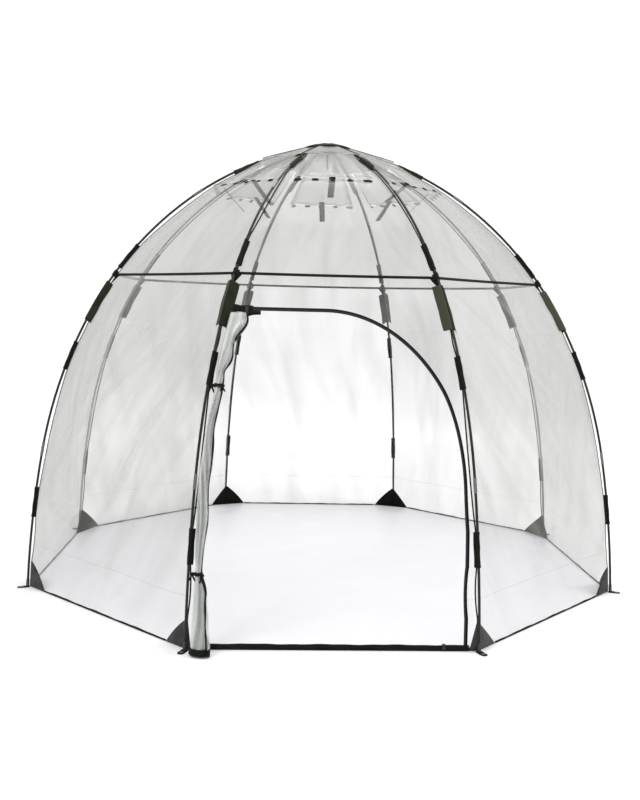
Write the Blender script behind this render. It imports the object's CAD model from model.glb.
"""Looks of the pop up greenhouse dome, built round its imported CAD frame. Lengths are in metres.

Sides are numbered 1 to 8 anticlockwise from +X, and pole k stands between side k and side k + 1.
In a side's own frame x is outward, y is along the side and z is up.
"""

from math import atan2, cos, exp, pi, radians, sin, sqrt, tan, tau

import bmesh
import bpy
import numpy as np
from mathutils import Matrix, Vector, geometry


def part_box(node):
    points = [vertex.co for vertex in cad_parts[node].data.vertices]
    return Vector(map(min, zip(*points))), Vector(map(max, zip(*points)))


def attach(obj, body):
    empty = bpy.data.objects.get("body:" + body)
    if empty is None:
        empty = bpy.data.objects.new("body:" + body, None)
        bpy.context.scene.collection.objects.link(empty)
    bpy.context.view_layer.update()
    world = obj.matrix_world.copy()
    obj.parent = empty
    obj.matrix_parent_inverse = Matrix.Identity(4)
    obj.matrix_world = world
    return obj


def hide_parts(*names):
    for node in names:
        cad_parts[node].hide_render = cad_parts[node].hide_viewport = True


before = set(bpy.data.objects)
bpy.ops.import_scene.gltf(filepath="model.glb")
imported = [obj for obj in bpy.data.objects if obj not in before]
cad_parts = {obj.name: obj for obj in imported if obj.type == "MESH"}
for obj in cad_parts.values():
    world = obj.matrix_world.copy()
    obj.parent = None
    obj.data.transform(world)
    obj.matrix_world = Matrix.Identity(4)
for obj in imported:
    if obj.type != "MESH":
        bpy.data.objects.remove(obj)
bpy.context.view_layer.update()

# ---- The dome's sizes, read from the frame where a node shows them, and as in the CAD source elsewhere ----

SIDES = 8
SIDE_NUMBERS = range(1, SIDES + 1)
HALF = pi / SIDES
DOOR_SIDE = 7
DOOR_POLE = 6
FILM_OFF = -0.012
FOOT_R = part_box("floor_sheet")[1].x / cos(HALF) - FILM_OFF
POLE_R = 0.0055
RING_Z = 1.465
TAB_Z = (0.401, 1.085, 1.556, 2.018)
TAB_LEN = 0.140
SLEEVE_LEN = 0.210
BEND_R = np.array((5.0, 2.12, 1.67))
BEND_PITCH = np.radians((87.5, 80.0, 60.0, 0.0))
SKIN_TOP_R = 0.070
SKIRT_Z = 0.200
CROWN_COLLAR_X = 0.106
VENT_X = 0.555
VENT_SHARE = 0.70
FLAP_SHARE = 0.78
FLAP_OVERLAP = 0.010
HOOD_TOP_R = 0.105
HOOD_R = 0.352
HOOD_LIFT = 0.012
DOOR_TOP = 1.316
DOOR_RIGHT = 0.517
DOOR_CURVE_Z = 0.630
DOOR_CURVE_Y = -0.045
DOOR_MARGIN = 0.020
SILL_H = 0.024
ZIP_START_Y = -0.400
ZIP_LAP = 0.012
ZIP_TEETH = 0.004
# (y, z) down the middle of the zip tape's loose end
LOOSE_TAPE = ((-0.308, 1.300), (-0.340, 1.300), (-0.374, 1.284), (-0.394, 1.264), (-0.386, 1.244),
              (-0.392, 1.226))
TIE_Z = (0.300, 1.020)
ROLL_TOP_Z = 1.308
GUSSET_H = 0.120
GUSSET_LEN = 0.125
GUSSET_DOOR_LEN = 0.034
GUSSET_HINGE_LEN = 0.018
FLOOR_PATCH = 0.095
HEM_H = 0.009
LOOP_START = 1.4915
LOOP_LEN = 0.055
LOOP_HALF_W = 0.014
LOOP_T = 0.0025
EYELET_R = 1.528
EYELET_HOLE_R = 0.0077
PROP_ROOT_X = 0.530
PROP_DROP = 0.0035
PROP_GAP = 0.0015
PROP_LEN = 0.160
PROP_W = 0.030
PROP_LEAN = (45, 42, 42, 42, 42, 49, 60, 59)
DOT_R = 0.009
DOTS_PER_SIDE = 5
STITCH_PITCH = 0.009


def outward(t):
    """Unit vector out from the pole at pitch t: away from the axis, and up."""
    return np.array((np.sin(t), np.cos(t)))


def bend_centres():
    """Centres of the pole's three arcs, from the foot up."""
    centres = [np.array((FOOT_R, 0.0)) - BEND_R[0] * outward(BEND_PITCH[0])]
    for i in (1, 2):
        centres.append(centres[-1] + (BEND_R[i - 1] - BEND_R[i]) * outward(BEND_PITCH[i]))
    return np.array(centres)


CENTRES = bend_centres()


def meridian(t, off=0.0):
    """Distance from the axis, and height, where the pole's pitch is t, off outside its centre line."""
    t = np.asarray(t, float)
    i = np.where(t > BEND_PITCH[1], 0, np.where(t > BEND_PITCH[2], 1, 2))
    r = BEND_R[i] + off
    return CENTRES[i, 0] + r * np.sin(t), CENTRES[i, 1] + r * np.cos(t)


PITCHES = np.linspace(0.0, BEND_PITCH[0] + 0.02, 4000)


def pitch_at_z(z, off=FILM_OFF):
    """Pitch at height z."""
    heights = meridian(PITCHES, off)[1]
    return np.interp(-np.asarray(z, float), -heights, PITCHES)


def pitch_at_r(r, off=FILM_OFF):
    """Pitch at distance r from the axis."""
    return np.interp(np.asarray(r, float), meridian(PITCHES, off)[0], PITCHES)


def half_side(t):
    """Half the width of a side's film at pitch t."""
    return meridian(t, FILM_OFF)[0] * sin(HALF)


def half_side_at(z):
    """Half the width of a side's film at height z."""
    return float(half_side(pitch_at_z(z)))


RING_PITCH = float(pitch_at_z(RING_Z))
FOOT_PITCH = float(pitch_at_z(0.0015))


def turned(a, x, y, z):
    """Points of a frame that is turned by angle a about the dome's axis."""
    x, y, z = np.broadcast_arrays(x, y, z)
    return np.stack((x * cos(a) - y * sin(a), x * sin(a) + y * cos(a), z), -1)


def side_place(k, x, y, z):
    """Points of side k's own frame."""
    return turned(2 * HALF * (k - 1), x, y, z)


def pole_place(k, t, out, lat):
    """Points out outside pole k's centre line at pitch t, and lat to its anticlockwise side."""
    r, z = meridian(t, out)
    return turned(2 * HALF * (k - 0.5), r, lat, z)


def smooth(v):
    """Eases from 0 to 1."""
    v = np.clip(v, 0, 1)
    return v * v * (3 - 2 * v)


# ---- Relief of the film: it is drawn in at the seams between tabs, sags a little, and is creased ----

# Low end, high end and depth of each stretch of a seam that no tab holds
SEAM_SPANS = ((0.13, 0.33, 0.016), (0.47, 1.01, 0.024), (1.155, 1.235, 0.006), (1.63, 1.94, 0.018))
SAG = 0.014
PULL_REACH = 0.075


def seam_pull(z):
    """How far a slack corner of the film is drawn in from its pole, between the tabs that hold it."""
    pull = np.zeros_like(z)
    for low, high, depth in SEAM_SPANS:
        share = np.clip((z - low) / (high - low), 0, 1)
        pull = pull + depth * np.sin(pi * share) ** 0.8 * (share > 0) * (share < 1)
    return pull


# How much of that depth the film has beside each pole, on the walls and on the roof
POLE_SLACK = {1: 0.3, 2: 0.25, 3: 0.25, 4: 0.25, 5: 0.30, 6: 0.9, 7: 0.9, 8: 0.2}
ROOF_SLACK = {1: 0.3, 2: 0.25, 3: 0.25, 4: 0.25, 5: 0.4, 6: 0.9, 7: 0.2, 8: 0.3}
# Direction of each side's creases and streaks, in degrees up from +y
STREAK_LEAN = {1: 118, 2: 96, 3: 84, 4: 70, 5: 64, 6: 58, 7: 90, 8: 122}
# Sides whose film is pulled flatter, with fainter creases
CALM_SIDES = (1, 2, 3, 4, 5)
# How milky each side's film is up to the low height, and from the high one
HAZE_LOW_Z = 0.05
HAZE_HIGH_Z = 0.60
HAZE = {1: (0.70, 0.85), 2: (0.95, 0.92), 3: (1.10, 1.04), 4: (1.04, 1.04), 5: (0.85, 1.04), 6: (0.42, 1.04),
        7: (0.42, 1.00), 8: (0.36, 0.88)}


def draw_creases(rng, count, reach, heights, lean, wander, lengths, widths, depths, strength=1.0):
    """Creases as (y, z, direction, length, width, height), drawn from ranges. lean holds the angles."""
    rows = []
    for _ in range(count):
        rows.append((
            rng.uniform(-reach, reach),
            rng.uniform(*heights),
            radians((lean[0] if len(lean) == 1 else rng.choice(lean)) + rng.normal(0, wander)),
            rng.uniform(*lengths),
            rng.uniform(*widths),
            strength * rng.choice((-1, 1)) * rng.uniform(*depths),
        ))
    return rows


def creases(k):
    """Long tension creases and low pleats of side k's wall, and the creases up its roof gore."""
    wall, roof = (np.random.default_rng(seed + k) for seed in (40, 80))
    strength = 0.45 if k in CALM_SIDES else 1.0
    return [
        *draw_creases(wall, 13, 0.5, (0.25, 1.32), (STREAK_LEAN[k],), 9,
                      (0.45, 1.10), (0.026, 0.060), (0.0030, 0.0075), strength),
        *draw_creases(wall, 5, 0.5, (0.04, 0.35), (25, 155), 14,
                      (0.10, 0.30), (0.016, 0.028), (0.0015, 0.0040), strength),
        *draw_creases(roof, 12, 0.34, (1.50, 1.95), (90,), 26,
                      (0.18, 0.45), (0.016, 0.032), (0.0012, 0.0036)),
    ]


CREASES = {k: creases(k) for k in SIDE_NUMBERS}


def crease_sum(k, y, z, folded=False):
    """Height of a side's creases at y along it and height z, or how folded it is there."""
    total = np.zeros(np.broadcast(y, z).shape)
    bend = 0.022 * np.sin(4.1 * z + 1.7 * k) + 0.012 * np.sin(9.3 * z + 5.0 * y + k)
    for cy, cz, direction, length, width, height in CREASES[k]:
        dy, dz = y + bend - cy, z - cz
        across = -dy * sin(direction) + dz * cos(direction)
        along_it = dy * cos(direction) + dz * sin(direction)
        window = np.exp(-np.abs(along_it / (0.5 * length)) ** 3)
        if folded:
            total = total + abs(height) / 0.009 * window * np.exp(-((across / (0.7 * width)) ** 2))
        else:
            total = total + height * window * np.exp(-((across / width) ** 2))
    return np.clip(total, 0, 1) if folded else total


def door_gap(y, z):
    """Distance outside the doorway's edge, roughly."""
    curve = np.hypot(
        np.maximum(y - DOOR_CURVE_Y, 0) / (DOOR_RIGHT - DOOR_CURVE_Y),
        np.maximum(z - DOOR_CURVE_Z, 0) / (DOOR_TOP - DOOR_CURVE_Z),
    )
    return (curve - 1) * (DOOR_RIGHT - DOOR_CURVE_Y)


def relief(k, y, z, eta):
    """How far the film stands outside its plain shape, along side k's normal."""
    ends = smooth(z / 0.16) * smooth(np.abs(z - RING_Z) / 0.10) * smooth((2.02 - z) / 0.12)
    middle = 1 - eta**2
    height = -SAG * middle * ends + crease_sum(k, y, z) * ends * smooth((1 - np.abs(eta)) / 0.16)
    if k == DOOR_SIDE:
        near_door = smooth(door_gap(y, z) / 0.10) * 0.6 + 0.12
        height = np.where(z < RING_Z, height * near_door, height)
    near_vent = smooth((1.90 - z) / 0.10)
    return height * np.where(z > RING_Z, near_vent, 1)


def film_place(k, eta, t, lift=0.0):
    """A point of side k's film. eta is -1 to 1 from seam to seam, and lift is height above it."""
    eta, t = np.broadcast_arrays(np.asarray(eta, float), np.asarray(t, float))
    r, z = meridian(t, FILM_OFF)
    x, y = r * cos(HALF), eta * r * sin(HALF)
    out = relief(k, y, z, eta) + lift
    size = np.hypot(np.sin(t), np.cos(t) * cos(HALF))
    other = (k - 2) % SIDES + 1
    on_wall = np.where(eta > 0, POLE_SLACK[k], POLE_SLACK[other])
    on_roof = np.where(eta > 0, ROOF_SLACK[k], ROOF_SLACK[other])
    slack = np.where(z < RING_Z, on_wall, on_roof)
    pull = slack * seam_pull(z) * np.exp(-(((1 - np.abs(eta)) * r * sin(HALF) / PULL_REACH) ** 2))
    flank = np.sign(eta)
    x = x + out * np.sin(t) / size - pull * np.sin(t) * cos(HALF)
    y = y - pull * np.sin(t) * sin(HALF) * flank
    z = z + out * np.cos(t) * cos(HALF) / size - pull * np.cos(t)
    return side_place(k, x, y, z)


def film_at(k, y, z, lift=0.0):
    """As film_place, from y along the side and height z."""
    y, z = np.broadcast_arrays(np.asarray(y, float), np.asarray(z, float))
    t = pitch_at_z(z)
    return film_place(k, y / half_side(t), t, lift)


def film_layers(k, y, z, top, low):
    """A row of points over side k's film and back under it: a section of something that lies on the film."""
    return np.concatenate((film_at(k, y, z, top), film_at(k, y, z, low)[::-1]))


# ---- Mesh helpers ----

def add_object(name, data):
    """Makes an object in the scene."""
    obj = bpy.data.objects.new(name, data)
    bpy.context.scene.collection.objects.link(obj)
    return obj


def add_piece(name, verts, faces, material, body="root", slot=None, stands_for=(), smooth_faces=True):
    """Makes a mesh piece and rides it on a body."""
    mesh = bpy.data.meshes.new(name)
    mesh.from_pydata(np.asarray(verts, float).reshape(-1, 3).tolist(), [], [list(map(int, f)) for f in faces])
    mesh.validate()
    obj = add_object(name, mesh)
    mesh.polygons.foreach_set("use_smooth", [smooth_faces] * len(mesh.polygons))
    mesh.materials.append(material)
    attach(obj, body)
    if stands_for:
        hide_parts(*stands_for)
    return obj


def merge_close(obj, distance):
    """Joins points that lie together, such as those along a seam."""
    bm = bmesh.new()
    bm.from_mesh(obj.data)
    bmesh.ops.remove_doubles(bm, verts=bm.verts, dist=distance)
    bmesh.ops.recalc_face_normals(bm, faces=bm.faces)
    bm.to_mesh(obj.data)
    bm.free()
    obj.data.polygons.foreach_set("use_smooth", [True] * len(obj.data.polygons))


def thicken(obj, thickness, offset):
    """Gives a sheet some thickness."""
    solid = obj.modifiers.new("thickness", "SOLIDIFY")
    solid.thickness = thickness
    solid.offset = offset


def grid_faces(rows, columns, closed=False):
    """Quads of a grid of points, row by row."""
    faces = []
    for i in range(rows - 1):
        for j in range(columns if closed else columns - 1):
            a, b = i * columns + j, i * columns + (j + 1) % columns
            faces.append((a, b, b + columns, a + columns))
    return faces


class Parts:
    """Collects the points and faces of several parts of one piece."""

    def __init__(self):
        self.verts, self.faces, self.count = [], [], 0

    def add(self, points, faces):
        points = np.asarray(points, float).reshape(-1, 3)
        self.faces += [tuple(self.count + i for i in f) for f in faces]
        self.verts.append(points)
        self.count += len(points)

    def add_grid(self, points, closed=False):
        """points is rows x columns x 3."""
        points = np.asarray(points, float)
        self.add(points, grid_faces(*points.shape[:2], closed=closed))

    def add_tube(self, points):
        """A closed tube through rings of points, with flat ends."""
        points = np.asarray(points, float)
        rows, columns = points.shape[:2]
        faces = grid_faces(rows, columns, closed=True)
        faces.append(tuple(range(columns))[::-1])
        faces.append(tuple((rows - 1) * columns + i for i in range(columns)))
        self.add(points, faces)

    def piece(self, name, material, **options):
        return add_piece(name, np.concatenate(self.verts), self.faces, material, **options)


# ---- Materials ----


class Nodes:
    """Short calls for a material's nodes."""

    def __init__(self, name):
        self.material = bpy.data.materials.new(name)
        self.material.use_nodes = True
        self.tree = self.material.node_tree
        self.shader = self.tree.nodes["Principled BSDF"]
        self.object_place = self.tree.nodes.new("ShaderNodeTexCoord").outputs["Object"]

    def put(self, value, socket):
        """Sets a socket to a constant, or links another socket to it."""
        if isinstance(value, bpy.types.NodeSocket):
            self.tree.links.new(value, socket)
        else:
            socket.default_value = value

    def fill(self, node, values):
        """Puts values in a node's inputs. Their names have _ for a space."""
        for name, value in values.items():
            self.put(value, node.inputs[name.replace("_", " ")])

    def set(self, **values):
        """Puts values in the shader's inputs."""
        self.fill(self.shader, values)

    def node(self, kind, **values):
        n = self.tree.nodes.new(kind)
        self.fill(n, values)
        return n

    def scaled(self, scale, turn=(0, 0, 0)):
        n = self.node("ShaderNodeMapping", Vector=self.object_place, Scale=scale, Rotation=turn)
        return n.outputs["Vector"]

    def noise(self, scale, detail=3.0, place=None, distortion=0.0):
        place = place or self.object_place
        n = self.node("ShaderNodeTexNoise", Vector=place, Scale=scale, Detail=detail, Distortion=distortion)
        return n.outputs["Fac"]

    def waves(self, scale, direction, place=None, distortion=0.4):
        place = place or self.object_place
        n = self.node("ShaderNodeTexWave", Vector=place, Scale=scale, Distortion=distortion)
        n.bands_direction = direction
        return n.outputs["Fac"]

    def attribute(self, name, output="Fac"):
        n = self.node("ShaderNodeAttribute")
        n.attribute_name = name
        return n.outputs[output]

    def math(self, operation, a, b=0.0, clamp=False):
        n = self.node("ShaderNodeMath")
        n.operation = operation
        n.use_clamp = clamp
        self.put(a, n.inputs[0])
        self.put(b, n.inputs[1])
        return n.outputs[0]

    def added(self, a, b):
        return self.math("ADD", a, b, clamp=True)

    def times(self, a, b):
        return self.math("MULTIPLY", a, b)

    def ranged(self, value, low, high, to_low, to_high):
        n = self.node("ShaderNodeMapRange", Value=value, From_Min=low, From_Max=high, To_Min=to_low,
                      To_Max=to_high)
        return n.outputs["Result"]

    def blended(self, share, a, b):
        n = self.node("ShaderNodeMix")
        n.data_type = "RGBA"
        self.put(share, n.inputs["Factor"])
        for name, value in (("A", a), ("B", b)):
            socket = next(s for s in n.inputs if s.name == name and s.type == "RGBA")
            self.put((*value, 1) if isinstance(value, tuple) else value, socket)
        return next(s for s in n.outputs if s.type == "RGBA")

    def bump(self, height, strength, distance):
        n = self.node("ShaderNodeBump", Height=height, Strength=strength, Distance=distance)
        self.set(Normal=n.outputs["Normal"])

    def split(self, place=None):
        """The three parts of a place."""
        return self.node("ShaderNodeSeparateXYZ", Vector=place or self.object_place).outputs

    def near(self, value, middle, reach):
        """1 where a value is within reach of middle, and 0 elsewhere."""
        return self.math("LESS_THAN", self.math("ABSOLUTE", self.math("SUBTRACT", value, middle)), reach)


def clear_film(name, tone, shade, low_alpha, high_alpha, streaked=True, wall=False, gloss=0.8, edge=0.60):
    """Flexible clear film: nearly see-through, milkier in its creases and where it turns edge-on, glossy."""
    m = Nodes(name)
    cloud = m.noise(2.6, 4.0, distortion=0.6)
    facing = m.node("ShaderNodeLayerWeight", Blend=0.5).outputs["Facing"]
    share = m.added(m.times(m.attribute("fold"), 0.42), m.times(cloud, 0.33))
    height = m.noise(30.0, distortion=0.8)
    if streaked:
        place = m.attribute("streak_place", "Vector")
        streak = m.ranged(m.noise(1.0, 2.5, place=place, distortion=0.5), 0.42, 0.78, 0.0, 1.0)
        share = m.added(share, m.times(streak, 0.22))
        height = m.math("ADD", m.times(height, 0.4), streak)
    share = m.added(share, m.times(facing, edge))
    if wall:
        share = m.math("MULTIPLY", share, m.attribute("haze"), clamp=True)
    alpha = m.ranged(share, 0.1, 1.0, low_alpha, high_alpha)
    if wall:
        weld = m.near(m.split()["Z"], SKIRT_Z, 0.0022)
        alpha = m.math("ADD", alpha, m.times(weld, 0.12))
    m.set(
        Base_Color=m.blended(share, shade, tone),
        Alpha=alpha,
        Roughness=m.ranged(m.noise(9.0, 2.0), 0.3, 0.7, 0.10, 0.26),
        IOR=1.5,
        Specular_IOR_Level=gloss,
        Coat_Weight=0.35 * gloss,
        Coat_Roughness=0.08,
    )
    m.bump(height, 0.16, 0.002)
    return m.material


def woven(name, dark, light, pitch=0.0011, roughness=(0.62, 0.85), sheen=0.02, thread=None):
    """Woven tape or cloth: crossed threads, with some dust and fading. thread is the colour of a sewn hem."""
    m = Nodes(name)
    per_metre = 1.0 / pitch / tau
    slanted = m.scaled((1, 1, 1), (0, 0, radians(45)))
    weave = m.times(m.waves(per_metre, "DIAGONAL"), m.waves(per_metre, "Z", place=slanted))
    wear = m.noise(14.0, 5.0, distortion=0.5)
    share = m.added(m.times(weave, 0.45), m.ranged(wear, 0.35, 0.7, 0.0, 0.55))
    colour = m.blended(share, dark, light)
    if thread:
        sewn = m.split(m.attribute("sewn_place", "Vector"))
        edge = m.times(sewn["X"], -1.0)
        hem = m.ranged(edge, 0.10, 0.15, 0.0, 0.40)
        stitch = m.math("LESS_THAN", m.math("FRACT", m.times(sewn["Y"], 1 / STITCH_PITCH)), 0.6)
        colour = m.blended(hem, colour, thread)
        colour = m.blended(m.times(stitch, m.near(edge, 0.20, 0.03)), colour, thread)
    m.set(Base_Color=colour, Roughness=m.ranged(wear, 0.3, 0.7, *roughness), Specular_IOR_Level=0.08)
    m.set(Sheen_Weight=sheen, Sheen_Roughness=0.5)
    m.bump(weave, 0.6, 0.0006)
    return m.material


def rod(name):
    """Dark glass-fibre rod, glossy with faint lengthwise grain."""
    m = Nodes(name)
    grain = m.noise(240.0, 2.0, place=m.scaled((1, 1, 0.02)))
    scuff = m.noise(18.0, 4.0)
    colour = m.blended(m.times(grain, scuff), (0.004, 0.0045, 0.0025), (0.024, 0.024, 0.013))
    m.set(Base_Color=colour, Roughness=m.ranged(scuff, 0.35, 0.7, 0.22, 0.42), Specular_IOR_Level=0.22)
    m.set(Coat_Weight=0.06, Coat_Roughness=0.15)
    m.bump(grain, 0.15, 0.0004)
    return m.material


def moulded(name, dark, light, roughness=(0.35, 0.6)):
    """Moulded plastic with a fine texture."""
    m = Nodes(name)
    broad = m.noise(22.0)
    m.set(Base_Color=m.blended(broad, dark, light), Roughness=m.ranged(broad, 0.3, 0.7, *roughness))
    m.bump(m.noise(900.0, 2.0), 0.2, 0.0003)
    return m.material


def metal(name, dark, light, roughness=(0.22, 0.45), metallic=1.0):
    """Drawn or painted metal with fine scratches."""
    m = Nodes(name)
    scratch = m.noise(400.0, 2.0, place=m.scaled((1, 1, 0.06)))
    colour = m.blended(m.times(scratch, m.noise(30.0)), dark, light)
    m.set(Base_Color=colour, Roughness=m.ranged(scratch, 0.3, 0.7, *roughness), Metallic=metallic)
    m.bump(scratch, 0.1, 0.0002)
    return m.material


def white_floor(name):
    """White floor film with faint creases."""
    m = Nodes(name)
    colour = m.blended(m.noise(1.6, 4.0, distortion=0.8), (0.715, 0.715, 0.742), (0.785, 0.785, 0.812))
    m.set(Base_Color=colour, Roughness=m.ranged(m.noise(7.0, 2.0), 0.3, 0.7, 0.28, 0.48))
    m.bump(m.noise(16.0, distortion=1.0), 0.2, 0.004)
    return m.material


wall_material = clear_film("wall_film", (0.33, 0.33, 0.312), (0.12, 0.12, 0.113), 0.030, 0.60, wall=True,
                           edge=0.92, gloss=0.5)
roof_material = clear_film("roof_film", (0.31, 0.305, 0.29), (0.12, 0.12, 0.112), 0.095, 0.60, gloss=0.3,
                           edge=0.75)
hood_material = clear_film("hood_film", (0.25, 0.255, 0.24), (0.12, 0.125, 0.115), 0.36, 0.90,
                           streaked=False, gloss=0.15)
vent_material = clear_film("vent_film", (0.30, 0.30, 0.285), (0.13, 0.135, 0.12), 0.27, 0.74,
                           streaked=False, gloss=0.2)
gathered_material = clear_film("gathered_film", (0.95, 0.97, 0.95), (0.26, 0.28, 0.26), 0.07, 0.64,
                               streaked=False)
floor_material = white_floor("floor_film")
black_webbing = woven("black_webbing", (0.003, 0.0034, 0.0026), (0.013, 0.014, 0.011))
black_cloth = woven("black_cloth", (0.0025, 0.003, 0.0022), (0.011, 0.012, 0.009), 0.0008, (0.5, 0.75))
olive_cloth = woven("olive_cloth", (0.005, 0.0075, 0.003), (0.023, 0.029, 0.014), 0.0009,
                    thread=(0.080, 0.084, 0.055))
top_tab_cloth = woven("top_tab_cloth", (0.010, 0.0105, 0.005), (0.036, 0.036, 0.020))
ring_cloth = woven("ring_tape", (0.003, 0.0032, 0.002), (0.013, 0.0135, 0.008))
prop_cloth = woven("prop_strap", (0.006, 0.0065, 0.005), (0.030, 0.031, 0.026))
gusset_cloth = woven("gusset_cloth", (0.010, 0.0105, 0.0105), (0.080, 0.083, 0.081),
                     roughness=(0.35, 0.6), sheen=0.10)
zip_cloth = woven("zip_tape", (0.002, 0.002, 0.002), (0.009, 0.009, 0.008), 0.0009)
tooth_plastic = moulded("zip_teeth", (0.004, 0.004, 0.004), (0.018, 0.018, 0.017), (0.25, 0.45))
hook_tape = woven("hook_tape", (0.005, 0.005, 0.005), (0.020, 0.020, 0.019), 0.0007)
pole_material = rod("pole_rod")
hub_material = moulded("hub_plastic", (0.010, 0.011, 0.010), (0.028, 0.029, 0.027))
tip_material = moulded("tip_plastic", (0.010, 0.011, 0.010), (0.030, 0.031, 0.028))
ferrule_material = metal("ferrule_metal", (0.10, 0.105, 0.10), (0.34, 0.35, 0.34))
eyelet_material = metal("eyelet_metal", (0.20, 0.20, 0.20), (0.45, 0.46, 0.45))
slider_material = metal("slider_metal", (0.012, 0.012, 0.011), (0.060, 0.060, 0.056), (0.3, 0.5), 0.6)
cord_material = woven("elastic_cord", (0.40, 0.40, 0.38), (0.72, 0.72, 0.69))


def finish_cad(material, *nodes):
    """Gives CAD nodes that show as they are their material."""
    for n in nodes:
        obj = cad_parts[n]
        if not obj.material_slots:
            obj.data.materials.append(material)
        for s in obj.material_slots:
            s.material = material


finish_cad(pole_material, *[f"pole_{k}" for k in SIDE_NUMBERS])
finish_cad(hub_material, "crown_hub")
finish_cad(tip_material, "pole_tips")
finish_cad(ferrule_material, "pole_ferrules")
finish_cad(cord_material, "shock_cords")
finish_cad(eyelet_material, "peg_eyelets")
finish_cad(slider_material, "zip_slider", "sill_slider")


def set_point_value(obj, name, values):
    """Stores a value at each point for the material, such as how creased the film is there."""
    attribute = obj.data.attributes.new(name, "FLOAT", "POINT")
    attribute.data.foreach_set("value", np.asarray(values, np.float32))


def set_point_place(obj, name, places):
    """Stores a place at each point for the material."""
    attribute = obj.data.attributes.new(name, "FLOAT_VECTOR", "POINT")
    attribute.data.foreach_set("vector", np.asarray(places, np.float32).ravel())


class FilmMarks:
    """Collects, point by point, how creased the film is, and its place along and across its fine streaks."""

    def __init__(self):
        self.folds, self.places, self.hazes = [], [], []

    def add(self, k, y, z):
        y, z = np.broadcast_arrays(np.asarray(y, float), np.asarray(z, float))
        on_roof, calm = np.mean(z) > RING_Z, k in CALM_SIDES
        lean = radians(90 if on_roof else STREAK_LEAN[k])
        across = -y * sin(lean) + z * cos(lean)
        along_it = y * cos(lean) + z * sin(lean)
        across = across + 0.035 * np.sin(3.1 * along_it + k) + 0.018 * np.sin(7.7 * along_it + 2 * k)
        low, high = HAZE[k]
        risen = np.clip((z - HAZE_LOW_Z) / (HAZE_HIGH_Z - HAZE_LOW_Z), 0, 1)
        self.hazes.append((low + (high - low) * risen).ravel())
        self.folds.append(((0.6 if calm else 1.0) * crease_sum(k, y, z, folded=True)).ravel())
        fine, long = (7.0, 1.6) if calm or on_roof else (13.0, 1.3)
        place = np.stack((across * fine + 9.0 * k, along_it * long, 5.0 * k + 0 * y), -1)
        self.places.append(place.reshape(-1, 3))

    def store(self, obj):
        set_point_value(obj, "fold", np.concatenate(self.folds))
        set_point_value(obj, "haze", np.concatenate(self.hazes))
        set_point_place(obj, "streak_place", np.concatenate(self.places))


# ---- Film cover ----

WALL_ROWS = 120
WALL_COLUMNS = 84
DOOR_GRID = 0.014


def door_curve(grow, steps=40):
    """The doorway's curved upper right edge, grow outside it."""
    a = np.linspace(pi / 2, 0, steps)
    y = DOOR_CURVE_Y + (DOOR_RIGHT - DOOR_CURVE_Y + grow) * np.cos(a)
    z = DOOR_CURVE_Z + (DOOR_TOP - DOOR_CURVE_Z + grow) * np.sin(a)
    return np.stack((y, z), -1)


def seam_y(z, margin):
    """y of a line margin from the seam on the left of the doorway."""
    return margin - meridian(pitch_at_z(z))[0] * sin(HALF)


def doorway_outline():
    """The doorway's edge as a closed outline of (y, z)."""
    z = np.linspace(SILL_H, DOOR_TOP, 60)
    left = np.stack((seam_y(z, DOOR_MARGIN), z), -1)
    top = np.linspace(left[-1, 0], DOOR_CURVE_Y, 26)[1:-1]
    top = np.stack((top, np.full_like(top, DOOR_TOP)), -1)
    z = np.linspace(DOOR_CURVE_Z, SILL_H, 34)[1:]
    right = np.stack((np.full_like(z, DOOR_RIGHT), z), -1)
    y = np.linspace(DOOR_RIGHT, left[0, 0], 60)[1:-1]
    foot = np.stack((y, np.full_like(y, SILL_H)), -1)
    return np.concatenate((left, top, door_curve(0), right, foot))


def inside(points, outline):
    """Which points lie inside a closed outline."""
    x, y = points[:, 0], points[:, 1]
    hit = np.zeros(len(points), bool)
    for (x1, y1), (x2, y2) in zip(outline, np.roll(outline, -1, 0)):
        crosses = (y1 > y) != (y2 > y)
        if y1 != y2:
            hit ^= crosses & (x < (x2 - x1) * (y - y1) / (y2 - y1) + x1)
    return hit


def fill_outline(outer, hole, loose):
    """Triangles between two outlines, through the loose points."""
    points = np.concatenate((outer, hole, loose))
    n, m = len(outer), len(hole)
    edges = [(i, (i + 1) % n) for i in range(n)] + [(n + i, n + (i + 1) % m) for i in range(m)]
    found = geometry.delaunay_2d_cdt([Vector(p) for p in points.tolist()], edges, [], 0, 1e-7)
    verts = np.array([tuple(v) for v in found[0]])
    faces = np.array([tuple(f) for f in found[2]])
    middle = verts[faces].mean(1)
    keep = inside(middle, outer) & ~inside(middle, hole)
    return verts, faces[keep]


def wall_pitches():
    """Pitches of the wall film's rows, from the foot to the ring seam."""
    return FOOT_PITCH + (RING_PITCH - FOOT_PITCH) * np.linspace(0.0, 1.0, WALL_ROWS)


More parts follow.
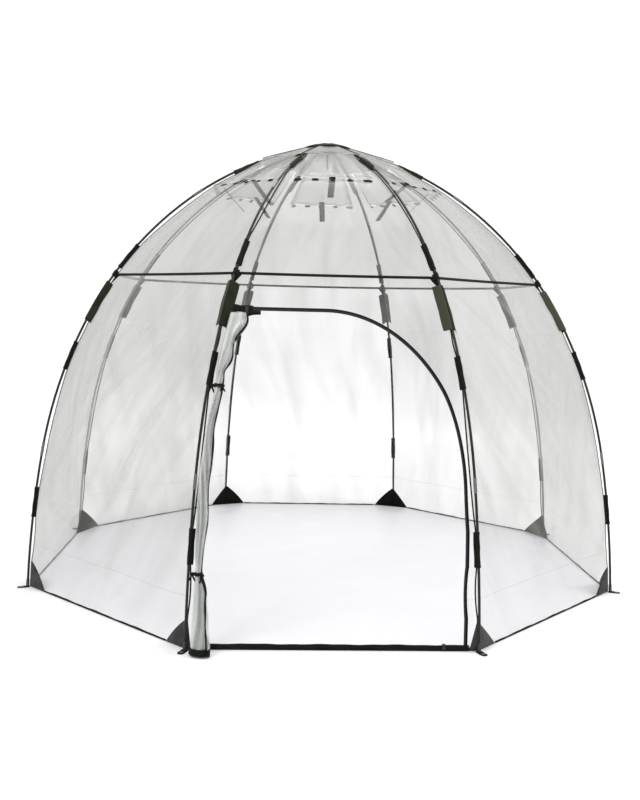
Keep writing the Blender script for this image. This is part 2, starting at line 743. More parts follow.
def make_wall_film():
    """The walls: seven plain ones, and the door's with the doorway cut out."""
    parts, marks = Parts(), FilmMarks()
    pitches = wall_pitches()
    eta = np.linspace(-1, 1, WALL_COLUMNS)
    seam_z = meridian(pitches, FILM_OFF)[1]
    half_width = half_side(pitches)
    for k in SIDE_NUMBERS:
        if k != DOOR_SIDE:
            parts.add_grid(film_place(k, eta[None, :], pitches[:, None]))
            marks.add(k, eta[None, :] * half_width[:, None], seam_z[:, None])
    bottom = np.linspace(-half_width[0], half_width[0], WALL_COLUMNS)[1:-1]
    top = np.linspace(half_width[-1], -half_width[-1], WALL_COLUMNS)[1:-1]
    outer = np.concatenate((
        np.stack((-half_width[::-1], seam_z[::-1]), -1),
        np.stack((bottom, np.full_like(bottom, seam_z[0])), -1),
        np.stack((half_width, seam_z), -1),
        np.stack((top, np.full_like(top, seam_z[-1])), -1),
    ))
    hole = doorway_outline()
    y, z = np.meshgrid(np.arange(-0.56, 0.57, DOOR_GRID), np.arange(0.012, RING_Z, DOOR_GRID))
    loose = np.stack((y.ravel(), z.ravel()), -1)
    edge = np.concatenate((outer, hole))
    far = np.array([np.min(np.hypot(*(edge - p).T)) > DOOR_GRID / 2 for p in loose])
    loose = loose[far & inside(loose, outer) & ~inside(loose, hole)]
    verts, faces = fill_outline(outer, hole, loose)
    parts.add(film_at(DOOR_SIDE, *verts.T), faces)
    marks.add(DOOR_SIDE, *verts.T)
    nodes = [f"wall_panel_{k}" for k in SIDE_NUMBERS if k != DOOR_SIDE] + ["door_panel"]
    obj = parts.piece("wall_film", wall_material, slot="clear_film", stands_for=nodes)
    marks.store(obj)
    return obj


ROWS_BELOW_VENT = 35
ROWS_IN_VENT = 27
COLUMNS_BESIDE_VENT = 7
COLUMNS_IN_VENT = 33


def make_roof_film():
    """The roof: eight gores, each with a vent opening."""
    def steps(x1, x2, count):
        return pitch_at_r(np.linspace(x1, x2, count) / cos(HALF))

    ring_x = meridian(RING_PITCH, FILM_OFF)[0] * cos(HALF)
    rows = np.concatenate((
        steps(ring_x, VENT_X, ROWS_BELOW_VENT + 1)[:-1],
        steps(VENT_X, CROWN_COLLAR_X, ROWS_IN_VENT + 1)[:-1],
        steps(CROWN_COLLAR_X, SKIN_TOP_R * cos(HALF), 4),
    ))
    columns = np.concatenate((
        np.linspace(-1, -VENT_SHARE, COLUMNS_BESIDE_VENT + 1)[:-1],
        np.linspace(-VENT_SHARE, VENT_SHARE, COLUMNS_IN_VENT + 1)[:-1],
        np.linspace(VENT_SHARE, 1, COLUMNS_BESIDE_VENT + 1),
    ))
    vent_rows = range(ROWS_BELOW_VENT, ROWS_BELOW_VENT + ROWS_IN_VENT)
    vent_columns = range(COLUMNS_BESIDE_VENT, COLUMNS_BESIDE_VENT + COLUMNS_IN_VENT)
    row_r, row_z = meridian(rows, FILM_OFF)
    parts, marks = Parts(), FilmMarks()
    for k in SIDE_NUMBERS:
        points = film_place(k, columns[None, :], rows[:, None])
        n = len(columns)
        faces = [
            f for i, f in enumerate(grid_faces(len(rows), n))
            if not (i // (n - 1) in vent_rows and i % (n - 1) in vent_columns)
        ]
        used = sorted({i for f in faces for i in f})
        place = {old: new for new, old in enumerate(used)}
        parts.add(points.reshape(-1, 3)[used], [tuple(place[i] for i in f) for f in faces])
        along_side = (columns[None, :] * row_r[:, None] * sin(HALF)).ravel()
        marks.add(k, along_side[used], np.repeat(row_z, n)[used])
    nodes = [f"roof_panel_{k}" for k in SIDE_NUMBERS]
    obj = parts.piece("roof_film", roof_material, slot="clear_film", stands_for=nodes)
    marks.store(obj)
    return obj


def hood_profile(share):
    """Height and distance of the hood's ridge over a pole, from its top to its hem."""
    top, low = pitch_at_r(HOOD_TOP_R, 0), pitch_at_r(HOOD_R, 0)
    t = top + (low - top) * share
    lift = HOOD_LIFT - 0.004 * np.sin(pi * share)
    return meridian(t, lift)


def make_hood():
    """The skirt under the cap: ridges over the poles, slack between them."""
    parts = Parts()
    share = np.linspace(0, 1, 22)[:, None]
    eta = np.linspace(-1, 1, 34)[None, :]
    for k in SIDE_NUMBERS:
        r, z = hood_profile(share)
        x, y = r * cos(HALF), eta * r * sin(HALF)
        rng = np.random.default_rng(300 + k)
        ripple = 0.0016 * np.sin(eta * 9 + rng.uniform(0, 6) + share * 3) * share * (1 - eta**2)
        drop = 0.010 * np.sin(pi * np.minimum(share * 1.05, 1)) * (1 - np.abs(eta) ** 2.2)
        parts.add_grid(side_place(k, x + 0 * eta, y, z - drop + ripple))
    obj = parts.piece("hood_film", hood_material, slot="vent_film", stands_for=["crown_hood"])
    merge_close(obj, 3e-4)
    heights = np.array([v.co.z for v in obj.data.vertices])
    set_point_value(obj, "fold", 0.15 + 0.85 * smooth((heights - heights.min()) / np.ptp(heights)))
    return obj


def flap_frame():
    """A vent flap's hinge, its slope and its length, in a side's own frame."""
    r, z = meridian(pitch_at_r(HOOD_R, 0), HOOD_LIFT)
    hinge = np.array((r * cos(HALF), z))
    edge_r, edge_z = meridian(pitch_at_r(VENT_X / cos(HALF)), FILM_OFF)
    run, fall = edge_r * cos(HALF) - hinge[0], hinge[1] - edge_z - 0.004
    slope = atan2(fall, run)
    return hinge, slope, (run + FLAP_OVERLAP) / cos(slope)


HEM_START = 0.93


def make_vent_flap(k):
    """One vent's flap: a loose sheet with a welded hem, lifting a little between its dots."""
    hinge, slope, length = flap_frame()
    down = np.concatenate((np.linspace(0.010, HEM_START, 26), (0.935, 0.965, 0.995, 1.0)))[:, None]
    eta = np.linspace(-1, 1, 49)[None, :]
    s = down * length
    x = hinge[0] + s * cos(slope)
    half_width = FLAP_SHARE * tan(HALF) * x
    rng = np.random.default_rng(500 + k)
    phase = rng.uniform(0, 6, 3)
    lift = 0.0035 * down**3 * (1 + np.sin(eta * 7.5 + phase[0]))
    lift = lift + 0.002 * down**2 * (1 + np.sin(eta * 15 + phase[1]))
    lift = lift + 0.004 * np.sin(pi * down) * (1 + 0.5 * np.sin(eta * 4 + phase[2])) * (1 - eta**2)
    lift = lift + 0.0008 * (down > HEM_START)
    y = eta * half_width
    x = x + lift * sin(slope)
    z = hinge[1] - s * sin(slope) + lift * cos(slope) + 0.0006
    node = f"vent_flap_{k}"
    obj = add_piece(f"vent_flap_film_{k}", side_place(k, x, y, z), grid_faces(down.size, eta.size),
                    vent_material, body=node, slot="vent_film", stands_for=[node])
    hem = ((down > HEM_START) | (np.abs(eta) > 0.97)) * 0.55
    fine = np.abs(np.gradient(np.gradient(lift, axis=1), axis=1)) * 600
    set_point_value(obj, "fold", np.clip(hem + fine + 0.08, 0, 1).ravel())


def make_floor():
    """The floor film: eight gores welded at the corners, lying with shallow creases."""
    rings, spokes = 46, 24
    corner = FOOT_R + FILM_OFF - 0.0004
    parts = Parts()
    rng = np.random.default_rng(9)
    waves = [(rng.uniform(0, pi), rng.uniform(3, 13), rng.uniform(0, 6)) for _ in range(14)]
    share = np.linspace(0.0, 1, rings)[:, None]
    eta = np.linspace(-1, 1, spokes)[None, :]
    for k in SIDE_NUMBERS:
        place = side_place(k, share * corner * cos(HALF), eta * share * corner * sin(HALF), 0.0)
        z = sum(np.sin((place[..., 0] * cos(a) + place[..., 1] * sin(a)) * f + p) for a, f, p in waves)
        place[..., 2] = 0.0016 + 0.00055 * np.clip(z, -1.5, 3.0) * np.minimum(1, (1 - share) * 12)
        parts.add_grid(place)
    obj = parts.piece("floor_film", floor_material, slot="floor_film", stands_for=["floor_sheet"])
    merge_close(obj, 1e-4)
    return obj


wall_film = make_wall_film()
roof_film = make_roof_film()
hood_film = make_hood()
floor_film = make_floor()
for k in SIDE_NUMBERS:
    make_vent_flap(k)

# ---- Crown cap ----


def make_cap():
    """The cap: eight gores of coated cloth, bound at the edge."""
    low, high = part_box("crown_cap")
    radius, rise = high.x, high.z - low.z
    around, rings = 128, 22
    a = np.linspace(0, tau, around, endpoint=False)[None, :]
    share = np.concatenate((np.linspace(0.02, 0.97, rings), (0.985, 1.0)))[:, None]
    gore = np.abs(np.sin(a * SIDES / 2 + pi * 0.5)) ** 0.7
    z = high.z - (rise - 0.0015) * share**2 - 0.0018 * gore * np.sin(pi * share)
    r = radius * (share * (1 - 0.010 * gore * share))
    z = z - 0.0010 * (share > 0.98)
    points = np.stack((r * np.cos(a), r * np.sin(a), z + 0 * a), -1)
    parts = Parts()
    parts.add_grid(points, closed=True)
    parts.add(np.array([[0, 0, high.z]]), [])
    top = parts.count - 1
    parts.faces += [(top, j, (j + 1) % around) for j in range(around)]
    obj = parts.piece("cap_cloth", black_cloth, slot="cap_fabric", stands_for=["crown_cap"])
    merge_close(obj, 1e-6)
    thicken(obj, 0.0014, -1)
    return obj


cap_cloth = make_cap()

# ---- Webbing on the poles ----


def along(t, s):
    """Pitch after going s up the pole from pitch t."""
    i = 0 if t > BEND_PITCH[1] else 1 if t > BEND_PITCH[2] else 2
    return t - s / BEND_R[i]


def wrap_outline(half_w, thick, swell):
    """Section of webbing round a pole: a flange on the film, and a round back over the pole."""
    base = FILM_OFF + 0.0005
    r = POLE_R + 0.0003 + thick + swell
    angles = np.radians(np.linspace(-118, 118, 17))
    arc = np.stack((r * np.cos(angles), r * np.sin(angles)), -1)
    left = [(base, -half_w), (base + thick, -half_w), (base + thick * 1.1, -half_w * 0.72)]
    right = [(base + thick * 1.1, half_w * 0.72), (base + thick, half_w), (base, half_w)]
    return np.concatenate((left, arc, right))


def make_tabs():
    """Four webbing wraps on each pole. The top ones are of a browner cloth."""
    lower, upper = Parts(), Parts()
    rng = np.random.default_rng(12)
    s = np.concatenate(((-0.5, -0.49), np.linspace(-0.46, 0.46, 15), (0.49, 0.5))) * TAB_LEN
    for k in SIDE_NUMBERS:
        for tab in TAB_Z:
            middle = float(pitch_at_z(tab, 0))
            rows = []
            phase = rng.uniform(0, 6)
            for step in s:
                end = abs(step) / (TAB_LEN / 2)
                swell = 0.0006 * sin(step * 90 + phase) + 0.0010 * (end > 0.9) - 0.0012 * (end > 0.995)
                half_w = 0.0135 + 0.0008 * sin(step * 60 + phase) - 0.001 * (end > 0.995)
                o = wrap_outline(half_w, 0.0016, swell)
                rows.append(pole_place(k, along(middle, step), *o.T))
            (upper if tab == TAB_Z[-1] else lower).add_tube(rows)
    lower.piece("tab_webbing", black_webbing, slot="black_webbing", stands_for=["pole_tabs"])
    upper.piece("top_tab_cloth", top_tab_cloth, slot="black_webbing")


def make_hood_ribs():
    """The dark binding along the hood's ridge over each pole, from the cap to the hem."""
    parts = Parts()
    section = np.array(((-1, 0.0), (-0.9, 0.8), (0, 1.0), (0.9, 0.8), (1, 0.0)))
    top, low = float(pitch_at_r(HOOD_TOP_R, 0)), float(pitch_at_r(HOOD_R, 0))
    for k in SIDE_NUMBERS:
        rows = []
        for share in np.linspace(0.06, 0.995, 30):
            out = HOOD_LIFT - 0.004 * sin(pi * share) + section[:, 1] * 0.0018
            rows.append(pole_place(k, top + (low - top) * share, out, section[:, 0] * 0.0034))
        parts.add_tube(rows)
    parts.piece("hood_ribs", ring_cloth, slot="black_webbing")


def make_sleeves():
    """The olive patch folded over each pole's middle joint."""
    parts = Parts()
    rng = np.random.default_rng(21)
    half_w = 0.030
    thick = 0.0014
    one_way = np.concatenate((np.linspace(-1, -0.26, 9), np.linspace(-0.2, 0.2, 7), np.linspace(0.26, 1, 9)))
    lat = one_way * half_w
    both_ways = np.concatenate((one_way, one_way[::-1]))
    sewn = []
    for k in SIDE_NUMBERS:
        rows = []
        phase = rng.uniform(0, 6, 3)
        for step in np.linspace(-0.5, 0.5, 25) * SLEEVE_LEN:
            share = np.abs(lat) / half_w
            off_pole = np.maximum(share - 0.16, 0) / 0.84
            out = 0.0092 - 0.0275 * off_pole
            out = out + 0.0016 * np.sin(pi * off_pole) * (1 + 0.6 * np.sin(step * 40 + phase[0]))
            out = out + 0.0012 * np.sin(step * 55 + phase[1]) * share**2
            wide = 1 + 0.03 * sin(step * 25 + phase[2])
            out, lats = np.concatenate((out, (out - thick)[::-1])), np.concatenate((lat, lat[::-1])) * wide
            sewn += [(share, step + 1.0, 0.0) for share in both_ways]
            skew = 0.006 * np.sign(lats) * (abs(lats) / half_w) * (abs(step) / SLEEVE_LEN * 2) ** 6
            rows.append(pole_place(k, float(along_joint(step)) + skew / BEND_R[1], out, lats))
        parts.add_tube(rows)
    obj = parts.piece("sleeve_cloth", olive_cloth, slot="olive_fabric", stands_for=["pole_sleeves"])
    set_point_place(obj, "sewn_place", sewn)


def along_joint(s):
    """Pitch s up the pole from its middle joint."""
    return BEND_PITCH[2] - s / (BEND_R[2] if s > 0 else BEND_R[1])


def tape_on_film(parts, k, y, z, half_w, thick, cross):
    """A domed tape on side k's film along points (y, z). cross is its width direction at each."""
    section = np.array(((-1, 0.0), (-0.92, 0.75), (-0.5, 1.0), (0, 1.08), (0.5, 1.0), (0.92, 0.75), (1, 0.0)))
    rows = []
    for (py, pz), (cy, cz) in zip(np.stack((y, z), -1), cross):
        rows.append(film_at(k, py + section[:, 0] * half_w * cy, pz + section[:, 0] * half_w * cz,
                            0.0003 + section[:, 1] * thick))
    parts.add_tube(rows)


def make_ring():
    """The tape over the ring seam, with a small wrap and a triangle under it at each pole."""
    parts = Parts()
    half_width = half_side_at(RING_Z)
    for k in SIDE_NUMBERS:
        y = np.linspace(-half_width + 0.006, half_width - 0.006, 60)
        z = np.full_like(y, RING_Z) - 0.002 * (1 - (y / half_width) ** 2)
        up = np.tile((0.0, 0.82), (len(y), 1))
        tape_on_film(parts, k, y, z, 0.0068, 0.0024, up)
        tie = wrap_outline(0.014, 0.0022, 0.0008).T
        steps = np.linspace(-0.5, 0.5, 9) * 0.030
        parts.add_tube([pole_place(k, along(RING_PITCH, step), *tie) for step in steps])
        for end in (-1, 1):
            rows = []
            for drop in np.linspace(0, 1, 9):
                reach = 0.003 + 0.026 * (1 - drop) ** 0.8
                z = RING_Z - 0.040 * drop
                y = end * (half_side_at(z) - np.linspace(0, reach, 7))
                rows.append(film_layers(k, y, z, 0.0024, 0.0004))
            parts.add_tube(rows)
    parts.piece("ring_tape", ring_cloth, slot="black_webbing", stands_for=["ring_band"])


def make_seams():
    """The dark welded tape on the crease of the film behind each pole."""
    parts = Parts()
    pitches = np.concatenate((np.linspace(FOOT_PITCH - 0.02, RING_PITCH + 0.01, 90),
                              np.linspace(RING_PITCH - 0.01, float(pitch_at_r(0.20)), 60)))
    for k in SIDE_NUMBERS:
        sides = ((k, 1 - 1e-4, -1), (k % SIDES + 1, -1 + 1e-4, 1))
        rows = []
        for t in pitches:
            half = float(half_side(t))
            across = []
            for side, eta, inward in sides:
                inset = np.array((0.0032, 0.0016, 0.0)) if side == k else np.array((0.0, 0.0016, 0.0032))
                across.append(film_place(side, eta + inward * inset / half, t, 0.0012))
            upper = np.concatenate((across[0], across[1][1:]))
            under = []
            for side, eta, inward in sides[::-1]:
                inset = np.array((0.0032, 0.0)) if side != k else np.array((0.0, 0.0032))
                under.append(film_place(side, eta + inward * inset / half, t, -0.0008))
            rows.append(np.concatenate((upper, *under)))
        parts.add_tube(rows)
    parts.piece("seam_tape", ring_cloth, slot="black_webbing")


make_tabs()
make_hood_ribs()
make_sleeves()
make_ring()
make_seams()

# ---- Door flap: the film of the doorway, gathered beside its pole ----

FLAP_ROWS = 130
PLEATS = 22
TURNS = 3.5
TURN_STEPS = 34
FLAP_LOW_Z = 0.006
FLAP_HEM = 0.024
# Height, half-width, half-depth, place across the pole and place out from it, of the gathered film
FLAP_SHAPE = np.array((
    (0.006, 0.044, 0.018, 0.078, 0.040),
    (0.040, 0.040, 0.020, 0.076, 0.030),
    (0.120, 0.034, 0.018, 0.066, 0.010),
    (0.220, 0.026, 0.014, 0.052, -0.006),
    (0.300, 0.0120, 0.0105, 0.039, -0.011),
    (0.400, 0.019, 0.014, 0.038, -0.010),
    (0.640, 0.023, 0.015, 0.036, -0.009),
    (0.860, 0.020, 0.014, 0.038, -0.010),
    (1.020, 0.0140, 0.0105, 0.040, -0.011),
    (1.110, 0.023, 0.013, 0.043, -0.011),
    (1.210, 0.032, 0.013, 0.054, -0.012),
    (1.308, 0.044, 0.010, 0.065, -0.013),
))


def flap_station(z):
    """Smoothly, the gathered film's half-width, half-depth, place across and place out at height z."""
    i = np.clip(np.searchsorted(FLAP_SHAPE[:, 0], z) - 1, 0, len(FLAP_SHAPE) - 2)
    low, high = FLAP_SHAPE[i], FLAP_SHAPE[i + 1]
    share = smooth((z - low[0]) / (high[0] - low[0]))
    return (low + (high - low) * share)[1:]


def flap_section(z):
    """The film at height z: from its sewn edge, through the pleats, and round a few turns."""
    half_w, half_d, lat, out = flap_station(z)
    stroke = np.arange(PLEATS * 3 + 1) / 3
    pleat = stroke / PLEATS
    side = 1 - 2 * np.abs(np.mod(stroke, 2) - 1)
    number = np.floor(stroke)
    wander = 0.20 * np.sin(7.1 * z + 2.3 * number) + 0.12 * np.sin(19.0 * z + 4.1 * number)
    core_lat = (-0.80 + 1.60 * pleat) * 0.80
    core_out = side * (0.66 + wander * 0.5) * np.sqrt(np.maximum(1 - core_lat**2, 0.15))
    turn = np.linspace(0, TURNS * tau, int(TURNS * TURN_STEPS))
    grow = 0.84 + 0.16 * turn / turn[-1]
    ruffle = 0.085 * np.sin(3 * turn + 5.2 * z + 1.0) + 0.060 * np.sin(7 * turn - 9.0 * z)
    ruffle = ruffle + 0.035 * np.sin(13 * turn + 23.0 * z) + 0.05 * np.sin(2 * turn + 14.0 * z)
    around = turn - turn[-1] + 0.30 + 0.35 * sin(9.0 * z + 0.6)
    roll_lat = np.cos(around) * (grow + ruffle)
    roll_out = np.sin(around) * (grow + ruffle)
    snake = 0.017 * sin(46.0 * z) * smooth((z - 1.04) / 0.06) + 0.004 * sin(26.0 * z + 1.0)
    roll_lat = roll_lat * (1 + snake / half_w * 0.8 * (roll_lat > 0.2))
    lats = np.concatenate((core_lat, roll_lat)) * half_w + lat
    outs = np.concatenate((core_out, roll_out)) * half_d + out
    sewn = seam_y(z, DOOR_MARGIN) + meridian(pitch_at_z(z))[0] * sin(HALF)
    sewn_lat, sewn_out = sewn * cos(HALF), FILM_OFF - sewn * sin(HALF)
    lead = np.linspace(0, 1, 7)[:-1]
    lead_lat = sewn_lat + (lats[0] - sewn_lat) * lead
    lead_out = sewn_out + (outs[0] - sewn_out) * lead + 0.003 * np.sin(pi * lead)
    lats = np.concatenate((lead_lat, lats))
    return pole_place(DOOR_POLE, float(pitch_at_z(z, 0)), np.concatenate((lead_out, outs)), lats)


def edge_frame(points, column):
    """At each height, a point of the film's column, its way back along the film, and its way out."""
    edge = points[:, column]
    back = points[:, column - 3] - edge
    back /= np.linalg.norm(back, axis=1)[:, None]
    up = np.gradient(edge, axis=0)
    out = np.cross(up, back)
    out /= np.linalg.norm(out, axis=1)[:, None]
    facing = edge - points[:, -TURN_STEPS:].mean(1)
    out *= np.sign(np.sum(out * facing, 1))[:, None]
    return edge, back, out


def edge_tape(parts, points, column, width):
    """A tape along one column of the gathered film, wavering in width as it twists."""
    edge, back, out = edge_frame(points, column)
    rows = []
    for i, (p, b, o) in enumerate(zip(edge, back, out)):
        w = width * (1 + 0.6 * sin(i * 0.43) * sin(i * 0.17))
        near, far, low, top = -b * 0.3 * w, b * w, o * 0.0010, o * 0.0023
        rows.append((p + low + near, p + far + low, p + far + top, p + top + near))
    parts.add_tube(rows)


def edge_teeth(parts, points):
    """The zip's loose half: a tooth every few millimetres along the film's free edge."""
    edge, back, out = edge_frame(points, -1)
    for i in range(1, len(edge) - 1):
        for share in (0.0, 0.5):
            tooth = []
            for s in (share + 0.02, share + 0.30):
                p = edge[i] * (1 - s) + edge[i + 1] * s - back[i] * 0.0018
                wide, low, top = back[i] * 0.0030, out[i] * 0.0008, out[i] * 0.0040
                tooth.append((p + low, p + wide + low, p + wide + top, p + top))
            parts.add_tube(tooth)


def make_flap():
    """The gathered door film, with its edge tapes, its teeth and its hem."""
    z = np.linspace(FLAP_LOW_Z, ROLL_TOP_Z, FLAP_ROWS)
    points = np.array([flap_section(h) for h in z])
    rows, columns = points.shape[:2]
    obj = add_piece("flap_film", points, grid_faces(rows, columns), gathered_material, body="door_flap",
                    slot="gathered_film", stands_for=["door_flap"])
    near_tie = np.exp(-((z[:, None] - np.array(TIE_Z)) / 0.03) ** 2).sum(1)
    column = np.arange(columns)[None, :]
    wander = 1.8 * np.sin(5.0 * z[:, None]) + 0.9 * np.sin(13.0 * z[:, None])
    streak = np.abs(np.sin(0.55 * column + wander)) ** 5
    set_point_value(obj, "fold", np.clip(0.05 + 0.35 * near_tie[:, None] + 0.75 * streak, 0, 1).ravel())

    parts = Parts()
    edge_tape(parts, points, -1, 0.0070)
    edge_tape(parts, points[z < TIE_Z[1] - 0.01], -1 - int(0.42 * TURN_STEPS), 0.0026)
    edge_teeth(parts, points)
    parts.piece("flap_edge_tape", zip_cloth, body="door_flap", slot="zip_tape")

    hem = Parts()
    foot = np.array([flap_section(h) for h in np.linspace(FLAP_LOW_Z, FLAP_LOW_Z + FLAP_HEM, 6)])
    centre = foot.mean(1)[:, None]
    hem.add_grid(centre + (foot - centre) * np.array((1.02, 1.02, 1.0)) - np.array((0, 0, 0.001)))
    thicken(hem.piece("flap_hem", black_cloth, body="door_flap", slot="zip_tape"), 0.0012, 0)


def knot(parts, centre, size, seed):
    """A small lumpy knot of webbing with two short tails."""
    rng = np.random.default_rng(seed)
    phase = rng.uniform(0, 6, 4)
    rings, around = 9, 14
    rows = []
    for v in np.linspace(0.06, pi - 0.06, rings):
        u = np.linspace(0, tau, around, endpoint=False)
        r = size * (1 + 0.22 * np.sin(3 * u + phase[0] + 2 * v) + 0.14 * np.sin(2 * v + 5 * u + phase[1]))
        rows.append(centre + np.stack((r * np.sin(v) * np.cos(u), r * np.sin(v) * np.sin(u),
                                       0.8 * size * np.cos(v) + 0 * u), -1))
    parts.add_tube(rows)
    for tail in (0, 1):
        lean = (-0.5 + tail) * 0.7 + rng.normal(0, 0.1)
        length = 0.022 + 0.008 * rng.uniform()
        rows = []
        for s in np.linspace(0, 1, 7):
            hang = (sin(lean) * length * s, -0.002 - 0.003 * sin(3 * s + phase[2]), -length * s)
            p = centre + np.array(hang)
            w = 0.0042 * (1 - 0.2 * s)
            rows.append([p + (-w, 0, 0), p + (w, 0, 0), p + (w, 0.0012, 0), p + (-w, 0.0012, 0)])
        parts.add_tube(rows)


def make_ties():
    """Two webbing ties: a band round the film, a strap to the seam beside it, and a knot at each end."""
    parts = Parts()
    for n, z in enumerate(TIE_Z):
        half_w, half_d, lat, out = flap_station(z)
        angles = np.linspace(0, tau, 40, endpoint=False)
        pitch = float(pitch_at_z(z, 0))
        rows = []
        for rise, grow in ((-0.0062, 1.26), (-0.0058, 1.40), (0.0058, 1.40), (0.0062, 1.26)):
            wave = 0.0012 * np.sin(3 * angles + n)
            ring = pole_place(DOOR_POLE, along(pitch, rise), out + np.sin(angles) * half_d * grow,
                              lat + np.cos(angles) * half_w * grow)
            ring[:, 2] += wave
            rows.append(ring)
        rows.append(rows[0])
        parts.add_grid(rows, closed=True)
        strap = []
        for share in np.linspace(0, 1, 12):
            place = 0.013 + (lat + half_w * 1.3 + 0.004 - 0.013) * share
            sag = -0.0025 * sin(pi * share)
            front = out + half_d * 1.42 * min(1, share * 2.2) + 0.001
            strap.append([
                pole_place(DOOR_POLE, along(pitch, sag + rise), front + deep, place)
                for rise, deep in ((-0.0055, 0), (0.0055, 0), (0.0055, 0.0016), (-0.0055, 0.0016))
            ])
        parts.add_tube(strap)
        for i, place in enumerate((0.016, lat + half_w * 1.3 + 0.005)):
            centre = pole_place(DOOR_POLE, along(pitch, -0.002), out + half_d * (1.0 + 0.4 * i), place)
            knot(parts, centre, 0.0080 + 0.0022 * i, 60 + 2 * n + i)
    parts.piece("flap_ties", black_webbing, body="door_flap", slot="black_webbing", stands_for=["door_ties"])


# ---- Door zip ----


def zip_line(grow, steps=260):
    """Points along the zip, grow outside the doorway's edge. Steps lie side by side for every grow."""
    def line(out):
        start, foot = (ZIP_START_Y, DOOR_TOP + out), (DOOR_RIGHT + out, SILL_H + 0.001)
        return np.concatenate(([start], door_curve(out, 60), [foot]))

    run = np.concatenate(([0], np.cumsum(np.hypot(*np.diff(line(0), axis=0).T))))
    at = np.linspace(0, run[-1], steps)
    y, z = line(grow).T
    return np.stack((np.interp(at, run, y), np.interp(at, run, z)), -1)


def loose_tape():
    """The zip tape's loose end, which drops from the patch over the top of the gathered film."""
    at = np.linspace(0, 1, 30)
    knots = np.linspace(0, 1, len(LOOSE_TAPE))
    y, z = (np.interp(at, knots, [p[i] for p in LOOSE_TAPE]) for i in (0, 1))
    for _ in range(6):
        y[1:-1], z[1:-1] = (y[:-2] + 2 * y[1:-1] + y[2:]) / 4, (z[:-2] + 2 * z[1:-1] + z[2:]) / 4
    run = np.stack((np.gradient(y), np.gradient(z)), -1)
    run /= np.linalg.norm(run, axis=1)[:, None]
    rows = []
    for share, py, pz, (ry, rz) in zip(at, y, z, run):
        half = 0.0085 * (1 - 0.45 * share) * (1 + 0.25 * sin(9 * share))
        lift = 0.0100 + 0.002 * sin(7 * share)
        corners = ((-half, lift), (half, lift + 0.002), (half, lift + 0.0035), (-half, lift + 0.0015))
        rows.append([film_at(DOOR_SIDE, py - rz * w, pz + ry * w, h) for w, h in corners])
    return np.array(rows)


def make_zip():
    """The zip's fixed half: a tape sewn round the doorway, its teeth, and the patch where it starts."""
    tape, teeth = Parts(), Parts()
    inner, outer = zip_line(-ZIP_TEETH), zip_line(ZIP_LAP)
    across = np.array((0.04, 0.10, 0.30, 0.55, 0.80, 0.95, 1.0))
    lift = np.array((0.0, 0.75, 1.0, 1.15, 1.0, 0.75, 0.0)) * 0.0019
    rows = []
    for a, b in zip(inner, outer):
        p = a[None, :] + (b - a)[None, :] * across[:, None]
        rows.append(film_at(DOOR_SIDE, *p.T, 0.0006 + lift))
    tape.add_tube(rows)
    a, b = zip_line(-ZIP_TEETH, 420), zip_line(-ZIP_TEETH + 0.0075, 420)
    for i in range(1, len(a) - 1):
        along_line = (a[i + 1] - a[i]) * 0.28
        p = np.array((a[i] - along_line, b[i] - along_line, b[i] + along_line, a[i] + along_line))
        teeth.add_tube([film_at(DOOR_SIDE, *p.T, h) for h in (0.0016, 0.0040)])
    patch = []
    for share in np.linspace(0, 1, 16):
        y = ZIP_START_Y - 0.036 + 0.098 * share
        z = np.linspace(-0.022, 0.015, 9) + DOOR_TOP + 0.004 + 0.002 * sin(share * 9) - 0.005 * share**2
        dome = 0.0045 * np.sin(pi * np.linspace(0.03, 0.97, 9)) ** 0.5 * (0.6 + 0.4 * sin(pi * share))
        patch.append(film_layers(DOOR_SIDE, y, z, 0.0012 + dome, 0.0008))
    tape.add_tube(patch)
    tape.add_tube(loose_tape())
    tape.piece("zip_cloth", zip_cloth, slot="zip_tape", stands_for=["door_zip"])
    teeth.piece("zip_teeth", tooth_plastic, slot="zip_tape", smooth_faces=False)


# ---- Vent dots and props ----


def make_dots():
    """Hook-and-loop patches along each vent's lower edge, sewn on a little unevenly."""
    parts = Parts()
    pitch = float(pitch_at_r((VENT_X + DOT_R) / cos(HALF)))
    span = tan(HALF) * VENT_SHARE * VENT_X
    half_width = float(half_side(pitch))
    rng = np.random.default_rng(33)
    for k in SIDE_NUMBERS:
        for i in range(DOTS_PER_SIDE):
            middle = span * (2 * i / (DOTS_PER_SIDE - 1) - 1)
            wide, tall = rng.uniform(0.009, 0.021), rng.uniform(0.0055, 0.0125)
            turn = rng.normal(0, 0.20)
            rows = []
            for rise in (0.0003, 0.0016, 0.0022):
                shrink = 0.93 if rise > 0.002 else 1
                a = np.linspace(0, tau, 28, endpoint=False)
                u = np.sign(np.cos(a)) * np.abs(np.cos(a)) ** 0.45 * wide * shrink
                v = np.sign(np.sin(a)) * np.abs(np.sin(a)) ** 0.45 * tall * shrink
                y = middle + u * cos(turn) - v * sin(turn)
                down = u * sin(turn) + v * cos(turn)
                rows.append(film_place(k, y / half_width, pitch + down / BEND_R[2], rise))
            parts.add_tube(rows)
    parts.piece("dot_tape", hook_tape, slot="hook_tape", stands_for=["vent_dots"])


